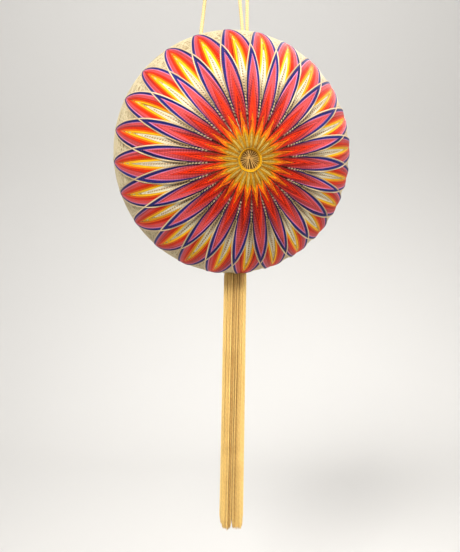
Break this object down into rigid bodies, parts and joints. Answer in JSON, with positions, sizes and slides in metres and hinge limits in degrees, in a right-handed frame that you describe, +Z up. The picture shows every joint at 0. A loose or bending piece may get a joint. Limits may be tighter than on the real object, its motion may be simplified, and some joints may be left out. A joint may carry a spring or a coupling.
{
  "type": "hanging temari ball",
  "caption": "Round embroidered thread ball with petal relief on both poles, hung from thin cord loops, with a long straight cord tassel below.",
  "frame": {"origin": "inside top of the hanging loops, where a hook or peg carries the part", "axes": "+Z up, the ball's embroidered front pole faces -Y, +X to the right seen from the front"},
  "size_m": [0.1002, 0.1022, 0.2384],
  "materials": {
    "wound_thread": "satin thread",
    "tassel_cord": "satin cord",
    "loop_cord": "satin cord"
  },
  "bodies": {
    "root": {"ball": "wound_thread", "tassel": "tassel_cord", "loop_front": "loop_cord", "loop_rear": "loop_cord"}
  },
  "joints": []
}
